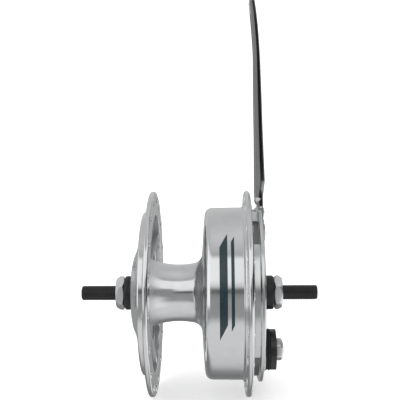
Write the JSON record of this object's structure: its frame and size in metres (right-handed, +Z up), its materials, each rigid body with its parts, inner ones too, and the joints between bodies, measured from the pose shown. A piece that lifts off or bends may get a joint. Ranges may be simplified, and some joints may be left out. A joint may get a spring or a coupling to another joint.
{
  "type": "bicycle drum brake hub",
  "caption": "Front bicycle hub with an internal drum brake, spoked flanges, a waisted barrel, a brake plate, a long reaction arm and a cam lever.",
  "frame": {"origin": "on the axle's centre line, midway between the two locknut faces", "axes": "+X along the axle to the brake side, +Z up along the reaction arm, +Y forwards"},
  "size_m": [0.1424, 0.123, 0.2371],
  "materials": {
    "black_steel": "black oxide, satin",
    "plated_steel": "zinc plated",
    "machined_steel": "turned",
    "bearing_steel": "ground",
    "cast_aluminium": "cast and turned, satin",
    "polished_aluminium": "polished",
    "chromed_steel": "chromed",
    "bronze": "sintered",
    "black_rubber": "matt",
    "spring_steel": "oiled",
    "liner_iron": "turned",
    "pressed_steel": "pressed and plated",
    "black_painted_steel": "gloss black",
    "brake_lining": "moulded friction material"
  },
  "bodies": {
    "root": {"axle": "black_steel", "locknut_left": "plated_steel", "locknut_right": "plated_steel", "spacer_left": "black_steel", "spacer_right": "black_steel", "bearing_sleeve": "machined_steel", "inner_ring_left": "bearing_steel", "inner_ring_right": "bearing_steel", "brake_plate": "cast_aluminium", "reaction_arm": "chromed_steel", "arm_rivets": "plated_steel", "anchor_pin": "machined_steel", "cam_bush": "bronze", "cam_seal": "black_rubber", "return_spring_cam": "spring_steel", "return_spring_anchor": "spring_steel"},
    "hub": {"left_flange": "polished_aluminium", "hub_barrel": "polished_aluminium", "drum_shell": "polished_aluminium", "drum_liner": "liner_iron", "outer_ring_left": "bearing_steel", "outer_ring_right": "bearing_steel", "bearing_shields_left": "black_rubber", "bearing_shields_right": "black_rubber", "bearing_circlip": "spring_steel", "dust_cap_left": "pressed_steel"},
    "cage_left": {"cage_left": "bronze", "balls_left": "bearing_steel"},
    "cage_right": {"cage_right": "bronze", "balls_right": "bearing_steel"},
    "cam": {"cam_spindle": "machined_steel", "cam_lever": "black_painted_steel", "cam_nut": "plated_steel"},
    "shoe_front": {"shoe_front": "cast_aluminium", "lining_front": "brake_lining"},
    "shoe_rear": {"shoe_rear": "cast_aluminium", "lining_rear": "brake_lining"}
  },
  "joints": [
    {"name": "hub_spin", "type": "hinge", "parent": "root", "child": "hub", "pos_m": [0, 0, 0], "axis": [1, 0, 0], "continuous": true},
    {"name": "cage_left_spin", "type": "hinge", "parent": "root", "child": "cage_left", "pos_m": [-0.034, 0, 0], "axis": [1, 0, 0], "continuous": true},
    {"name": "cage_right_spin", "type": "hinge", "parent": "root", "child": "cage_right", "pos_m": [-0.001, 0, 0], "axis": [1, 0, 0], "continuous": true},
    {"name": "cam_turn", "type": "hinge", "parent": "root", "child": "cam", "pos_m": [0.035, 0, -0.0348], "axis": [1, 0, 0], "range_deg": [0, 15], "stiffness_Nm_per_rad": 3, "springref_deg": -5.73, "deforming": ["return_spring_cam", "return_spring_anchor"]},
    {"name": "shoe_front_swing", "type": "hinge", "parent": "root", "child": "shoe_front", "pos_m": [0.018, 0, 0.036], "axis": [1, 0, 0], "range_deg": [-0.88, 0]},
    {"name": "shoe_rear_swing", "type": "hinge", "parent": "root", "child": "shoe_rear", "pos_m": [0.018, 0, 0.036], "axis": [1, 0, 0], "range_deg": [0, 0.88]}
  ],
  "couplings": [
    {"joint": "cage_left_spin", "follows": "hub_spin", "ratio": 0.619},
    {"joint": "cage_right_spin", "follows": "hub_spin", "ratio": 0.619},
    {"joint": "shoe_front_swing", "follows": "cam_turn", "ratio": -0.0584},
    {"joint": "shoe_rear_swing", "follows": "cam_turn", "ratio": 0.0584}
  ]
}
